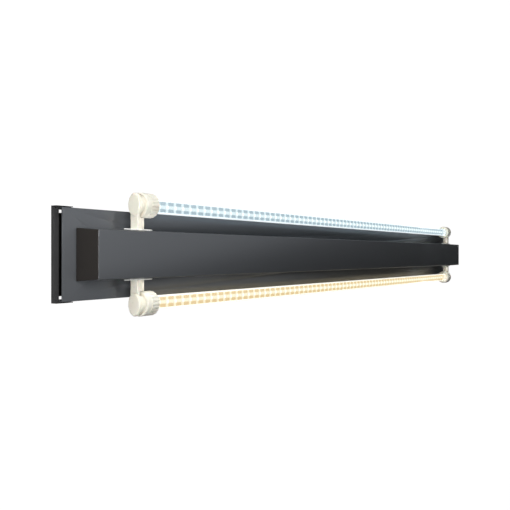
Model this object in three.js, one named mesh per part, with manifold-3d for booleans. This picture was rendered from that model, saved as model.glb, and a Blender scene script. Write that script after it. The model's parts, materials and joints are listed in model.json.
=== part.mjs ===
// Twin-tube LED aquarium light: a long flat plate with a raised channel, and an LED tube on each side of it.
// Millimetres. X runs along the light, Y across it, +Z is the way it shines. Z = 0 is the back of the
// end brackets, so the light lies on its back; X = 0 and Y = 0 are its middle.
import * as THREE from 'three';
import { mergeVertices } from 'three/addons/utils/BufferGeometryUtils.js';
import Module from 'manifold-3d';

// ---------- driving dimensions ----------
const GAP = 0.3;                 // clearance between touching pieces
const ROUND = 24;                // sides of a round piece
const SMALL_ROUND = 12;          // sides of a small round piece

const CHANNEL_END = 599;         // end of the channel, flush with its end caps
const CHANNEL_FRONT_Z = 39.6;
const CHANNEL_FRONT_Y = 24.9;    // half width at the front face
const CHANNEL_BACK_Y = 27.2;     // half width at the plate
const CHANNEL_WALL = 1.8;
const CHANNEL_FOOT_Y = 15;       // how far in the channel's feet reach
const END_CAP_SKIN = 2.6;
const END_CAP_DEPTH = 10.6;
const END_CAP_WALL = 2;

const PLATE_END = 616.4;
const PLATE_Y = 47.06;
const PLATE_FRONT_Z = 7.6;
const PLATE_THICK = 2;
const PLATE_FLANGE = 1.5;        // thickness of the folded long edges

const COVER_BACK_Z = 2.1;
const COVER_THICK = 1.2;
const COVER_END = 602.8;

const BRACKET_END = 624.3;
const BRACKET_INNER_END = 603.4;
const BRACKET_Y = 48.2;
const BRACKET_LIP = 0.84;
const BRACKET_RIM = 2;
const BRACKET_RIM_Z = 2.8;
const BRACKET_FLOOR = 1.8;
const BRACKET_LIP_Z = 7.8;
const BRACKET_TRAVEL = 25;
const TONGUE_END = 500;
const TONGUE_Y = 40;
const TONGUE_THICK = 1.7;
const TONGUE_WEB = 5;            // length of the step between floor and tongue
const HOLE_X = [609.2, 616.2];   // the small square holes of a bracket
const HOLE_Y = [41.5, 44.7];

const TUBE_Y = 53.4;             // tube axis
const TUBE_Z = 27.8;
const TUBE_R = 8;
const TUBE_WALL = 1;
const PIN_SPREAD = 2.5;          // contact pins, from the tube axis

// Stations along a lamp fitting, measured from the channel's end towards its middle.
const CAP_FACE = 61.3;
const HEAD_FACE = 62.9;
const HEAD_SHOULDER = 68.4;
const STEM_SIZE = 11;
const ROTOR_FACE = 68.2;
const COLLAR_END = 81.2;
const SEAL_END = 84.8;
const NUT_START = 68.7;
const NUT_RIBS_START = 77.2;
const NUT_END = 88.8;
const TUBE_CAP_START = 75.5;
const TUBE_SHELL_START = 77.8;
const BOARD_START = 84;

const HEAD_HALF_Y = 13;
const HEAD_HALF_Z = 8.6;
const SOCKET_CAP = { halfY: 9.7, halfZ: 6.9 };
const POCKET_R = 6.2;
const POCKET_DEPTH = 3.4;
const COLLAR_R = 11.2;
const SOCKET_BORE_R = 9.2;
const NUT_R = 13.6;
const NUT_RIB_DEPTH = 0.6;
const NUT_RIBS = 20;
const SEAL_INNER_R = TUBE_R + GAP;
const SEAL_OUTER_R = 10.7;
const WIRE_WAY = 2.6;            // middle of the stem's wire hole, from the head's face
const FLANGE = { halfX: 21.9, halfZ: 8, thick: 1.5 };

const SCREW_X = [-470, 0, 470];
const SCREW_Y = 20;
const GUIDE_SCREW_X = 540;
const SCREW_SHANK_R = 1.4;
const SCREW_HOLE_R = 1.7;
const SCREW_HEAD_R = 2.8;
const SCREW_HEAD = 1.3;

const DRIVER = { x: 110, y: 14, back: 12, front: 30, wall: 1.5 };
const LEAD_R = 1.5;
const LEAD_Z = 16;
const GLAND_Z = 22;
const GLAND_THREAD_R = 4;
const GLAND_BORE_R = 1.9;

// ---------- materials ----------
const paint = (color, roughness, metalness) =>
  new THREE.MeshStandardMaterial({ color, roughness, metalness });
const anthracite = () => paint(0x5a5e62, 0.45, 0.4);
const darkPlastic = () => paint(0x343231, 0.6, 0);
const bracketPlastic = () => paint(0x3b3b3d, 0.55, 0);
const cream = () => paint(0xe8e3d2, 0.35, 0);
const whiteGasket = () => paint(0xf2f1ec, 0.5, 0);
const rubber = () => paint(0x2a2a2a, 0.8, 0);
const steel = () => paint(0xb8bcc0, 0.3, 0.9);
const aluminium = () => paint(0xc8cacc, 0.35, 0.9);
const circuit = () => paint(0x2f6b3c, 0.5, 0);
const wireGrey = () => paint(0x4a4a4d, 0.6, 0);
const clear = () => new THREE.MeshStandardMaterial({
  color: 0xf4f8fa, roughness: 0.1, metalness: 0, transparent: true, opacity: 0.35,
});
const glowing = (color) => new THREE.MeshStandardMaterial({
  color, roughness: 0.4, metalness: 0, emissive: color, emissiveIntensity: 0.8,
});
const COLD_WHITE = 0xd9ecff;
const WARM_WHITE = 0xffe2a8;

// ---------- solids ----------
const wasm = await Module();
wasm.setup();

// The volume a geometry encloses, which is negative when its faces point inwards.
function signedVolume(position, index) {
  const [a, b, c] = [new THREE.Vector3(), new THREE.Vector3(), new THREE.Vector3()];
  let volume = 0;
  for (let i = 0; i < index.length; i += 3) {
    a.fromBufferAttribute(position, index[i]);
    b.fromBufferAttribute(position, index[i + 1]);
    c.fromBufferAttribute(position, index[i + 2]);
    volume += a.dot(b.cross(c)) / 6;
  }
  return volume;
}

// A closed three.js geometry as a solid that can be joined and cut.
function solid(geometry) {
  geometry.deleteAttribute('normal');
  geometry.deleteAttribute('uv');
  const merged = mergeVertices(geometry, 1e-4);
  const index = Uint32Array.from(merged.index.array);
  if (signedVolume(merged.attributes.position, index) < 0) {
    for (let i = 0; i < index.length; i += 3) {
      [index[i], index[i + 1]] = [index[i + 1], index[i]];
    }
  }
  const vertProperties = Float32Array.from(merged.attributes.position.array);
  return new wasm.Manifold(new wasm.Mesh({ numProp: 3, vertProperties, triVerts: index }));
}

function toGeometry(body) {
  const { vertProperties, triVerts, numProp } = body.getMesh();
  const geometry = new THREE.BufferGeometry();
  const xyz = new Float32Array((vertProperties.length / numProp) * 3);
  for (let i = 0; i < xyz.length / 3; i += 1) {
    for (let k = 0; k < 3; k += 1) xyz[3 * i + k] = vertProperties[numProp * i + k];
  }
  geometry.setAttribute('position', new THREE.BufferAttribute(xyz, 3));
  geometry.setIndex(new THREE.BufferAttribute(Uint32Array.from(triVerts), 1));
  geometry.computeVertexNormals();
  return geometry;
}

function mesh(name, body, material) {
  const part = new THREE.Mesh(toGeometry(body), material);
  part.name = name;
  return part;
}

const join = (first, ...others) => others.reduce((sum, other) => sum.add(other), first);
const cut = (first, ...others) => others.reduce((left, other) => left.subtract(other), first);

function box([x0, x1], [y0, y1], [z0, z1]) {
  const geometry = new THREE.BoxGeometry(x1 - x0, y1 - y0, z1 - z0);
  geometry.translate((x0 + x1) / 2, (y0 + y1) / 2, (z0 + z1) / 2);
  return solid(geometry);
}

// Which way a prism's outline lies: its two axes and the one it is extruded along.
const AXES = {
  x: [[0, 1, 0], [0, 0, 1], [1, 0, 0]],
  y: [[0, 0, 1], [1, 0, 0], [0, 1, 0]],
  z: [[1, 0, 0], [0, 1, 0], [0, 0, 1]],
};

// An outline extruded along one axis. Outlines lie in (Y, Z) for x, (Z, X) for y and (X, Y) for z.
// A full circle in the outline gets the given number of sides: three.js makes two for each curve segment.
function prism(axis, [from, to], shape, sides = ROUND) {
  const options = { depth: to - from, bevelEnabled: false, curveSegments: sides / 2 };
  const geometry = new THREE.ExtrudeGeometry(shape, options);
  geometry.translate(0, 0, from);
  const basis = AXES[axis].map((direction) => new THREE.Vector3(...direction));
  geometry.applyMatrix4(new THREE.Matrix4().makeBasis(...basis));
  return solid(geometry);
}

const polygon = (points) => new THREE.Shape(points.map(([x, y]) => new THREE.Vector2(x, y)));

function disc(x, y, radius) {
  const shape = new THREE.Shape();
  shape.absarc(x, y, radius, 0, 2 * Math.PI);
  return shape;
}

function oval(x, y, halfX, halfY) {
  const shape = new THREE.Shape();
  shape.absellipse(x, y, halfX, halfY, 0, 2 * Math.PI);
  return shape;
}

// A long hole with round ends, along the outline's first axis.
function slot([x0, x1], y, radius) {
  const shape = new THREE.Shape();
  shape.absarc(x1 - radius, y, radius, -Math.PI / 2, Math.PI / 2);
  shape.absarc(x0 + radius, y, radius, Math.PI / 2, 1.5 * Math.PI);
  return shape;
}

// A body turned about the line y, z = 0 along X, flattened in Z by a factor. Its profile is a closed list of
// [station, radius].
function turned(y, profile, sides = ROUND, flatten = 1) {
  const points = profile.map(([station, radius]) => new THREE.Vector2(radius, station));
  const onAxis = profile[0][1] === 0;
  if (!onAxis) points.push(points[0].clone());
  const geometry = new THREE.LatheGeometry(points, sides);
  geometry.rotateZ(-Math.PI / 2);
  geometry.scale(1, 1, flatten);
  geometry.translate(0, y, 0);
  return solid(geometry);
}

// ---------- plate, channel and back ----------
const bothSides = (range, side) => (side > 0 ? range : [-range[1], -range[0]]);
const screwPlaces = SCREW_X.flatMap((x) => [[x, -SCREW_Y], [x, SCREW_Y]]);
const guidePlaces = [[-GUIDE_SCREW_X, 0], [GUIDE_SCREW_X, 0]];

function screwHoles(places, zRange) {
  return places.map(([x, y]) => prism('z', zRange, disc(x, y, SCREW_HOLE_R), SMALL_ROUND));
}

function basePlate() {
  const flangeIn = PLATE_Y - PLATE_FLANGE;
  const skinBack = PLATE_FRONT_Z - PLATE_THICK;
  const profile = polygon([
    [-PLATE_Y, COVER_BACK_Z], [-flangeIn, COVER_BACK_Z], [-flangeIn, skinBack], [flangeIn, skinBack],
    [flangeIn, COVER_BACK_Z], [PLATE_Y, COVER_BACK_Z], [PLATE_Y, PLATE_FRONT_Z], [-PLATE_Y, PLATE_FRONT_Z],
  ]);
  const holes = screwHoles([...screwPlaces, ...guidePlaces], [skinBack - 1, PLATE_FRONT_Z + 1]);
  return cut(prism('x', [-PLATE_END, PLATE_END], profile), ...holes);
}

const channelBackZ = PLATE_FRONT_Z + GAP;
const channelLean = (CHANNEL_BACK_Y - CHANNEL_FRONT_Y) / (CHANNEL_FRONT_Z - channelBackZ);
const channelHalfWidth = (z) => CHANNEL_FRONT_Y + (CHANNEL_FRONT_Z - z) * channelLean;

// The outside of the channel, pulled in by an even margin.
function channelOutline(margin, backZ = channelBackZ) {
  const frontZ = CHANNEL_FRONT_Z - margin;
  const back = channelHalfWidth(backZ) - margin;
  const front = channelHalfWidth(frontZ) - margin;
  return polygon([[-back, backZ], [back, backZ], [front, frontZ], [-front, frontZ]]);
}

const stemMiddle = CHANNEL_END - HEAD_FACE - STEM_SIZE / 2;

function channelCover() {
  const half = CHANNEL_END;
  const footZ = channelBackZ + CHANNEL_WALL;
  const shell = prism('x', [-half, half], channelOutline(0));
  const room = prism('x', [-half - 1, half + 1], channelOutline(CHANNEL_WALL, footZ));
  const mouth = box([-half - 1, half + 1], [-CHANNEL_FOOT_Y, CHANNEL_FOOT_Y], [0, footZ + 1]);
  const reach = STEM_SIZE / 2 + GAP;
  const stemWindows = [-stemMiddle, stemMiddle].map((x) =>
    box([x - reach, x + reach], [-40, 40], [TUBE_Z - reach, TUBE_Z + reach]));
  return cut(shell, room, mouth, ...stemWindows, ...screwHoles(screwPlaces, [0, footZ + 1]));
}

// A tray that closes the channel's end from inside its walls, with a tab between the channel's feet.
function channelEndCap(side) {
  const x = (from, to) => bothSides([from, to], side);
  const margin = CHANNEL_WALL + GAP;
  const backZ = channelBackZ + margin;
  const skinStart = CHANNEL_END - END_CAP_SKIN;
  const trayStart = CHANNEL_END - END_CAP_DEPTH;
  const tabHalf = CHANNEL_FOOT_Y - GAP;
  const tray = prism('x', x(trayStart, CHANNEL_END), channelOutline(margin, backZ));
  const tab = box(x(skinStart, CHANNEL_END), [-tabHalf, tabHalf], [channelBackZ, backZ + 1]);
  const hollow = prism('x', x(trayStart - 1, skinStart), channelOutline(margin + END_CAP_WALL, backZ + END_CAP_WALL));
  const shelled = join(cut(tray, hollow), tab);
  if (side < 0) return shelled;
  return cut(shelled, prism('x', [trayStart, CHANNEL_END + 1], disc(0, GLAND_Z, GLAND_THREAD_R + GAP)));
}

function backCover() {
  const halfY = PLATE_Y - PLATE_FLANGE - GAP;
  const z = [COVER_BACK_Z, COVER_BACK_Z + COVER_THICK];
  const holes = screwHoles([...screwPlaces, ...guidePlaces], [z[0] - 1, z[1] + 1]);
  return cut(box([-COVER_END, COVER_END], [-halfY, halfY], z), ...holes);
}

// A pan-head screw driven in from the back.
function screw(x, y, tipZ) {
  const headFront = COVER_BACK_Z - GAP;
  const headBack = headFront - SCREW_HEAD;
  const profile = [
    [headBack, 0], [headBack, SCREW_HEAD_R - 0.5], [headBack + 0.5, SCREW_HEAD_R], [headFront, SCREW_HEAD_R],
    [headFront, SCREW_SHANK_R], [tipZ - 0.8, SCREW_SHANK_R], [tipZ, 0],
  ];
  const points = profile.map(([z, radius]) => new THREE.Vector2(radius, z));
  const geometry = new THREE.LatheGeometry(points, SMALL_ROUND);
  geometry.rotateX(Math.PI / 2);
  geometry.translate(x, y, 0);
  return solid(geometry);
}

// ---------- end brackets ----------
function endBracket(side) {
  const x = (from, to) => bothSides([from, to], side);
  const tongueFront = PLATE_FRONT_Z - PLATE_THICK - GAP;
  const tongue = [tongueFront - TONGUE_THICK, tongueFront];
  const floor = box(x(BRACKET_INNER_END, BRACKET_END), [-BRACKET_Y, BRACKET_Y], [0, BRACKET_FLOOR]);
  const rim = box(x(BRACKET_END - BRACKET_RIM, BRACKET_END), [-BRACKET_Y, BRACKET_Y], [0, BRACKET_RIM_Z]);
  const lips = [-BRACKET_Y, BRACKET_Y - BRACKET_LIP].map((y) =>
    box(x(BRACKET_INNER_END, BRACKET_END), [y, y + BRACKET_LIP], [0, BRACKET_LIP_Z]));
  const webEnd = BRACKET_INNER_END + TONGUE_WEB;
  const web = box(x(BRACKET_INNER_END, webEnd), [-TONGUE_Y, TONGUE_Y], [0, tongueFront]);
  const blade = box(x(TONGUE_END, webEnd), [-TONGUE_Y, TONGUE_Y], tongue);
  const holes = [HOLE_Y, [-HOLE_Y[1], -HOLE_Y[0]]].map((y) => box(x(...HOLE_X), y, [-1, BRACKET_FLOOR + 1]));
  const slotEnds = [GUIDE_SCREW_X - BRACKET_TRAVEL - SCREW_HOLE_R, GUIDE_SCREW_X + SCREW_HOLE_R];
  const guideSlot = prism('z', [tongue[0] - 1, tongue[1] + 1], slot(x(...slotEnds), 0, SCREW_HOLE_R), 8);
  return cut(join(floor, rim, ...lips, web, blade), ...holes, guideSlot);
}

// ---------- lamp fittings, in a frame of their own ----------
// x is the station from the channel's end, y the distance from the light's middle plane, z is 0 at the tube axis.
function lampSocket() {
  const head = turned(TUBE_Y, [
    [HEAD_FACE, 0], [HEAD_FACE, HEAD_HALF_Y - 2.4], [HEAD_FACE + 1.1, HEAD_HALF_Y - 0.9],
    [HEAD_FACE + 2.4, HEAD_HALF_Y], [HEAD_SHOULDER, HEAD_HALF_Y], [HEAD_SHOULDER, 0],
  ], ROUND, HEAD_HALF_Z / HEAD_HALF_Y);
  const collar = turned(TUBE_Y, [
    [HEAD_SHOULDER - 1, 0], [HEAD_SHOULDER - 1, SOCKET_BORE_R], [HEAD_SHOULDER, COLLAR_R], [COLLAR_END, COLLAR_R],
    [COLLAR_END, 0],
  ]);
  const bore = turned(TUBE_Y, [
    [ROTOR_FACE, 0], [ROTOR_FACE, SOCKET_BORE_R], [COLLAR_END + 1, SOCKET_BORE_R], [COLLAR_END + 1, 0],
  ]);
  const half = STEM_SIZE / 2;
  const stemTop = TUBE_Y - NUT_R - GAP;
  const stem = box([HEAD_FACE, HEAD_FACE + STEM_SIZE], [17.5, stemTop], [-half, half]);
  const neck = box([HEAD_FACE, HEAD_SHOULDER], [stemTop - 1, TUBE_Y - 6], [-half, half]);
  const footReach = 7.5;
  const middle = HEAD_FACE + half;
  const foot = box([middle - footReach, middle + footReach], [20, 22.9], [-6.3, 6.3]);
  const wireWay = prism('y', [17, TUBE_Y - 4], disc(0, HEAD_FACE + WIRE_WAY, 1.1), 8);
  const pocket = prism('x', [HEAD_FACE - 1, HEAD_FACE + POCKET_DEPTH], disc(TUBE_Y, 0, POCKET_R), SMALL_ROUND);
  const releaseDimple = prism('x', [HEAD_FACE - 1, HEAD_FACE + 0.9], disc(35, 0, 0.7), 8);
  return cut(join(head, collar, stem, neck, foot), bore, wireWay, pocket, releaseDimple);
}

function socketCap() {
  return prism('x', [CAP_FACE, HEAD_FACE - GAP], oval(TUBE_Y, 0, SOCKET_CAP.halfY, SOCKET_CAP.halfZ));
}

// The contact holder that turns with the tube; its two holes take the pins.
function socketRotor() {
  const shape = disc(TUBE_Y, 0, SOCKET_BORE_R - GAP);
  for (const side of [-1, 1]) shape.holes.push(disc(TUBE_Y + side * PIN_SPREAD, 0, 1.5));
  return prism('x', [ROTOR_FACE + GAP, TUBE_CAP_START - GAP], shape, 20);
}

function lockNut() {
  const bore = COLLAR_R + GAP;
  const coreR = NUT_R - NUT_RIB_DEPTH;
  const core = turned(TUBE_Y, [
    [NUT_START, bore], [NUT_START, NUT_R - 0.5], [NUT_START + 0.6, NUT_R], [NUT_RIBS_START - 0.6, NUT_R],
    [NUT_RIBS_START, coreR], [NUT_END - 1.2, coreR], [NUT_END, coreR - 1.2], [NUT_END, TUBE_R + 0.7],
    [SEAL_END + GAP, TUBE_R + 0.7], [SEAL_END + GAP, bore],
  ]);
  const outline = [];
  for (let rib = 0; rib < NUT_RIBS; rib += 1) {
    for (const [part, radius] of [[0, coreR], [0.2, NUT_R], [0.6, NUT_R], [0.8, coreR]]) {
      const angle = ((rib + part) / NUT_RIBS) * 2 * Math.PI;
      outline.push([TUBE_Y + radius * Math.cos(angle), radius * Math.sin(angle)]);
    }
  }
  const ribs = polygon(outline);
  ribs.holes.push(disc(TUBE_Y, 0, coreR - 0.8));
  return join(core, prism('x', [NUT_RIBS_START, NUT_END - 1.2], ribs));
}

function sealRing() {
  const start = COLLAR_END + GAP;
  return turned(TUBE_Y, [
    [start, SEAL_INNER_R], [start, SEAL_OUTER_R], [SEAL_END, SEAL_OUTER_R], [SEAL_END, SEAL_INNER_R],
  ]);
}

function tubeEndCap() {
  const plugR = TUBE_R - TUBE_WALL - GAP;
  const cap = turned(TUBE_Y, [
    [TUBE_CAP_START, 0], [TUBE_CAP_START, TUBE_R - 0.4], [TUBE_CAP_START + 0.4, TUBE_R],
    [TUBE_SHELL_START - GAP, TUBE_R], [TUBE_SHELL_START - GAP, plugR], [BOARD_START - 1, plugR],
    [BOARD_START - 1, 0],
  ]);
  const pins = [-1, 1].map((side) =>
    prism('x', [TUBE_CAP_START - 7, TUBE_CAP_START + 1], disc(TUBE_Y + side * PIN_SPREAD, 0, 1.15), 8));
  return join(cap, ...pins);
}

// ---------- tubes, in a frame whose y and z are 0 at the tube axis ----------
const BOARD_BACK = -2;
const BOARD_FRONT = -0.8;
const BOARD_Y = 6;

function tubeShell() {
  const half = CHANNEL_END - TUBE_SHELL_START;
  const inner = TUBE_R - TUBE_WALL;
  return turned(0, [[-half, inner], [-half, TUBE_R], [half, TUBE_R], [half, inner]], 32);
}

function ledBoard() {
  const half = CHANNEL_END - BOARD_START;
  return box([-half, half], [-BOARD_Y, BOARD_Y], [BOARD_BACK, BOARD_FRONT]);
}

// The half-round heat sink that fills the tube behind the board.
function ledCarrier() {
  const half = CHANNEL_END - BOARD_START;
  const radius = TUBE_R - TUBE_WALL - GAP;
  const angle = Math.asin((-BOARD_BACK + GAP) / radius);
  const shape = new THREE.Shape();
  shape.absarc(0, 0, radius, Math.PI + angle, 2 * Math.PI - angle);
  return prism('x', [-half, half], shape, SMALL_ROUND);
}

// ---------- flanges ----------
// A thin oval plate around the stem, lying against the channel's leaning side wall.
function socketFlange() {
  const plate = prism('y', [GAP, GAP + FLANGE.thick], oval(0, 0, FLANGE.halfZ, FLANGE.halfX));
  const room = STEM_SIZE / 2 + GAP + 0.2;
  return cut(plate, box([-room, room], [-1, 3], [-room, room]));
}

// ---------- electrics inside the channel ----------
function driverCase() {
  const { x, y, back, front, wall } = DRIVER;
  const outer = box([-x, x], [-y, y], [back, front - wall - GAP]);
  const room = box([-x + wall, x - wall], [-y + wall, y - wall], [back + wall, front]);
  const wireWays = box([-x - 1, x + 1], [-2, 2], [LEAD_Z - 2, front]);
  return cut(outer, room, wireWays);
}

function driverLid() {
  const { x, y, front, wall } = DRIVER;
  return box([-x, x], [-y, y], [front - wall, front]);
}

function driverBoard() {
  const { x, y, back, wall } = DRIVER;
  const top = back + wall + 2.2;
  const board = box([-x + 8, x - 8], [-y + 2.5, y - 2.5], [top - 1.6, top]);
  const transformer = box([-30, 0], [-9, 9], [top - 0.5, top + 9]);
  const chip = box([40, 55], [-6, 6], [top - 0.5, top + 4]);
  const capacitors = [[-70, 4], [-55, 3.2], [20, 4]].map(([cx, radius]) =>
    prism('z', [top - 0.5, top + 8], disc(cx, 0, radius), SMALL_ROUND));
  return join(board, transformer, chip, ...capacitors);
}

// A round wire through the given points.
function wire(points, radius) {
  const corners = points.map((point) => new THREE.Vector3(...point));
  const route = new THREE.CatmullRomCurve3(corners, false, 'centripetal');
  const shape = disc(0, 0, radius);
  const options = { extrudePath: route, steps: 3 * (points.length - 1), curveSegments: 4, bevelEnabled: false };
  return solid(new THREE.ExtrudeGeometry(shape, options));
}

// From the driver's end wall to the stem of one socket.
function leadWire(side, row) {
  const startX = DRIVER.x + GAP;
  const endX = CHANNEL_END - HEAD_FACE - WIRE_WAY;
  const lane = 4;
  const points = [
    [startX, lane, LEAD_Z + 6], [startX + 6, lane, LEAD_Z + 6], [startX + 30, 9, LEAD_Z], [endX - 120, 9, LEAD_Z],
    [endX - 30, 9, LEAD_Z + 4], [endX - 6, 9.5, TUBE_Z - 2], [endX, 13, TUBE_Z], [endX, 17, TUBE_Z],
  ];
  return wire(points.map(([x, y, z]) => [side * x, row * y, z]), LEAD_R);
}

// The gland sits in the right end cap, its flange outside and its thread inside.
function cordGland() {
  const outside = CHANNEL_END + GAP;
  const inside = CHANNEL_END - END_CAP_SKIN;
  return turned(0, [
    [inside - 6, GLAND_BORE_R], [inside - 6, GLAND_THREAD_R], [outside, GLAND_THREAD_R], [outside, 6.5],
    [outside + 2, 6.5], [outside + 2.6, 5.4], [outside + 6, 4.2], [outside + 6, GLAND_BORE_R],
  ], 16);
}

function glandNut() {
  const face = CHANNEL_END - END_CAP_SKIN - GAP;
  const shape = new THREE.Shape();
  for (let corner = 0; corner < 6; corner += 1) {
    const angle = (corner * Math.PI) / 3;
    const point = [6.8 * Math.cos(angle), 6.8 * Math.sin(angle)];
    if (corner === 0) shape.moveTo(...point);
    else shape.lineTo(...point);
  }
  shape.holes.push(disc(0, 0, GLAND_THREAD_R + GAP));
  return prism('x', [face - 3.5, face], shape, 16);
}

// From the driver to the gland.
function inputWire() {
  const startX = DRIVER.x + GAP;
  const end = CHANNEL_END - END_CAP_SKIN - 6 - GAP;
  const points = [
    [startX, 0, LEAD_Z + 6], [startX + 8, 0, LEAD_Z + 6], [startX + 30, 0, LEAD_Z], [480, 0, LEAD_Z],
    [end - 12, 0, GLAND_Z], [end, 0, GLAND_Z],
  ];
  return wire(points, 1.7);
}

// ---------- assembly ----------
const light = new THREE.Group();
light.add(mesh('base_plate', basePlate(), anthracite()));
light.add(mesh('channel_cover', channelCover(), anthracite()));
light.add(mesh('channel_end_cap_left', channelEndCap(-1), darkPlastic()));
light.add(mesh('channel_end_cap_right', channelEndCap(1), darkPlastic()));
light.add(mesh('back_cover', backCover(), anthracite()));
light.add(mesh('end_bracket_left', endBracket(-1), bracketPlastic()));
light.add(mesh('end_bracket_right', endBracket(1), bracketPlastic()));

screwPlaces.forEach(([x, y], i) => {
  light.add(mesh(`cover_screw_${i + 1}`, screw(x, y, 11.5), steel()));
});
guidePlaces.forEach(([x, y], i) => {
  light.add(mesh(`bracket_guide_screw_${i + 1}`, screw(x, y, 10), steel()));
});

const ENDS = { left: -1, right: 1 };
const ROWS = { cold: { row: 1, glow: COLD_WHITE }, warm: { row: -1, glow: WARM_WHITE } };

for (const [rowName, { row, glow }] of Object.entries(ROWS)) {
  const tube = new THREE.Group();
  tube.position.set(0, row * TUBE_Y, TUBE_Z);
  tube.add(mesh(`tube_shell_${rowName}`, tubeShell(), clear()));
  tube.add(mesh(`led_board_${rowName}`, ledBoard(), glowing(glow)));
  tube.add(mesh(`led_carrier_${rowName}`, ledCarrier(), aluminium()));
  light.add(tube);

  for (const [endName, side] of Object.entries(ENDS)) {
    const place = `${rowName}_${endName}`;
    const fitting = new THREE.Group();
    fitting.position.set(side * CHANNEL_END, 0, TUBE_Z);
    // Half turns bring the fitting's own frame to each end and each row.
    if (row < 0 && side < 0) fitting.rotation.x = Math.PI;
    if (row > 0 && side > 0) fitting.rotation.y = Math.PI;
    if (row < 0 && side > 0) fitting.rotation.z = Math.PI;
    fitting.add(mesh(`lamp_socket_${place}`, lampSocket(), cream()));
    fitting.add(mesh(`socket_cap_${place}`, socketCap(), cream()));
    fitting.add(mesh(`socket_rotor_${place}`, socketRotor(), whiteGasket()));
    fitting.add(mesh(`lock_nut_${place}`, lockNut(), cream()));
    fitting.add(mesh(`seal_ring_${place}`, sealRing(), rubber()));
    fitting.add(mesh(`tube_end_cap_${place}`, tubeEndCap(), whiteGasket()));
    light.add(fitting);

    const wall = new THREE.Group();
    wall.position.set(side * stemMiddle, row * channelHalfWidth(TUBE_Z), TUBE_Z);
    wall.rotation.z = row < 0 ? Math.PI : 0;
    const flange = mesh(`socket_flange_${place}`, socketFlange(), whiteGasket());
    flange.rotation.x = Math.atan(channelLean);
    wall.add(flange);
    light.add(wall);

    light.add(mesh(`lead_wire_${place}`, leadWire(side, row), wireGrey()));
  }
}

light.add(mesh('driver_case', driverCase(), darkPlastic()));
light.add(mesh('driver_lid', driverLid(), darkPlastic()));
light.add(mesh('driver_board', driverBoard(), circuit()));

const inlet = new THREE.Group();
inlet.position.set(0, 0, GLAND_Z);
inlet.add(mesh('cord_gland', cordGland(), darkPlastic()));
inlet.add(mesh('gland_nut', glandNut(), darkPlastic()));
light.add(inlet);
light.add(mesh('input_wire', inputWire(), wireGrey()));

export default light;
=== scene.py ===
"""Twin-tube LED aquarium light, lying on its back with its tubes lit.

Sizes are in metres. X runs along the light, Y across it, and +Z is the way it shines.
"""

import json
import math

import bmesh
import bpy
from mathutils import Matrix, Vector


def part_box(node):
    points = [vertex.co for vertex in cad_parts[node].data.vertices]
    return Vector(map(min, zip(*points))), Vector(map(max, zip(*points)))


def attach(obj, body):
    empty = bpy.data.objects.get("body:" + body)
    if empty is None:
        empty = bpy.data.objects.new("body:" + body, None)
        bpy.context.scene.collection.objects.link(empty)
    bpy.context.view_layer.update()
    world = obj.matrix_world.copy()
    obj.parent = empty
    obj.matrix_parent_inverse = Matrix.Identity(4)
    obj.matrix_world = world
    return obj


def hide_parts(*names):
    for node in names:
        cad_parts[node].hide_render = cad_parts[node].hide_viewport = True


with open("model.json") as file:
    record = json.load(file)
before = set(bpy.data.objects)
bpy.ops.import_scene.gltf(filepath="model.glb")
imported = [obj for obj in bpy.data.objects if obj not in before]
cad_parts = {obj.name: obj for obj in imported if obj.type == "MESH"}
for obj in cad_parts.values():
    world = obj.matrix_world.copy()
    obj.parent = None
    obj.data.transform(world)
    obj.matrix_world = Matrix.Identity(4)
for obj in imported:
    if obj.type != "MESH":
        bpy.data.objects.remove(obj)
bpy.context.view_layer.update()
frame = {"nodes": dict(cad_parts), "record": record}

MM = 0.001
ROUND = 96                      # sides of a full circle
ENDS = {"left": -1, "right": 1}
ROWS = {"cold": 1, "warm": -1}

tube_low, tube_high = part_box("tube_shell_cold")
TUBE_Y = (tube_low.y + tube_high.y) / 2
TUBE_Z = (tube_low.z + tube_high.z) / 2
TUBE_R = (tube_high.z - tube_low.z) / 2
PLATE_FRONT_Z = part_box("base_plate")[1].z

# What the tubes throw on the plate, then their boards where they are brightest and dimmest, then the tubes'
# walls on the flanks and behind the board.
SPILL_GLOWS = {"cold": (0.80, 0.93, 1.0), "warm": (1.0, 0.84, 0.50)}
BRIGHT_GLOWS = {"cold": (0.83, 0.98, 1.0), "warm": (1.0, 0.96, 0.72)}
DIM_GLOWS = {"cold": (0.24, 0.37, 0.45), "warm": (0.74, 0.5, 0.17)}
FLANK_GLOWS = {"cold": (0.9, 0.98, 1.0), "warm": (1.0, 0.97, 0.86)}
BEHIND_GLOWS = {"cold": (0.45, 0.62, 0.75), "warm": (0.85, 0.66, 0.35)}


# ---------- camera, stage and light ----------
LENS, SENSOR = 46.94, 36                    # focal length and sensor width, in the camera's own millimetres
CAMERA_DIP = math.radians(33.44)            # from the light's length down to the line of sight
CAMERA_BACK, CAMERA_RISE = 0.4606, 0.4882   # from the near edge of the channel's front face
CAMERA_Y = -0.0005


def make_camera():
    """Looks along the light from its near end, with the light's width upright in the picture."""
    data = bpy.data.cameras.new("camera")
    data.lens = LENS
    data.sensor_width = SENSOR
    data.clip_end = 50
    camera = bpy.data.objects.new("camera", data)
    bpy.context.scene.collection.objects.link(camera)
    forward = Vector((math.cos(CAMERA_DIP), 0, -math.sin(CAMERA_DIP)))
    right = Vector((math.sin(CAMERA_DIP), 0, math.cos(CAMERA_DIP)))
    up = Vector((0, 1, 0))
    edge_x, edge_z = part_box("channel_end_cap_left")[0].x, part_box("channel_cover")[1].z
    place = Vector((edge_x - CAMERA_BACK, CAMERA_Y, edge_z + CAMERA_RISE))
    axes = Matrix((right, up, -forward)).transposed()
    camera.matrix_world = Matrix.Translation(place) @ axes.to_4x4()
    bpy.context.scene.camera = camera


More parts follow.
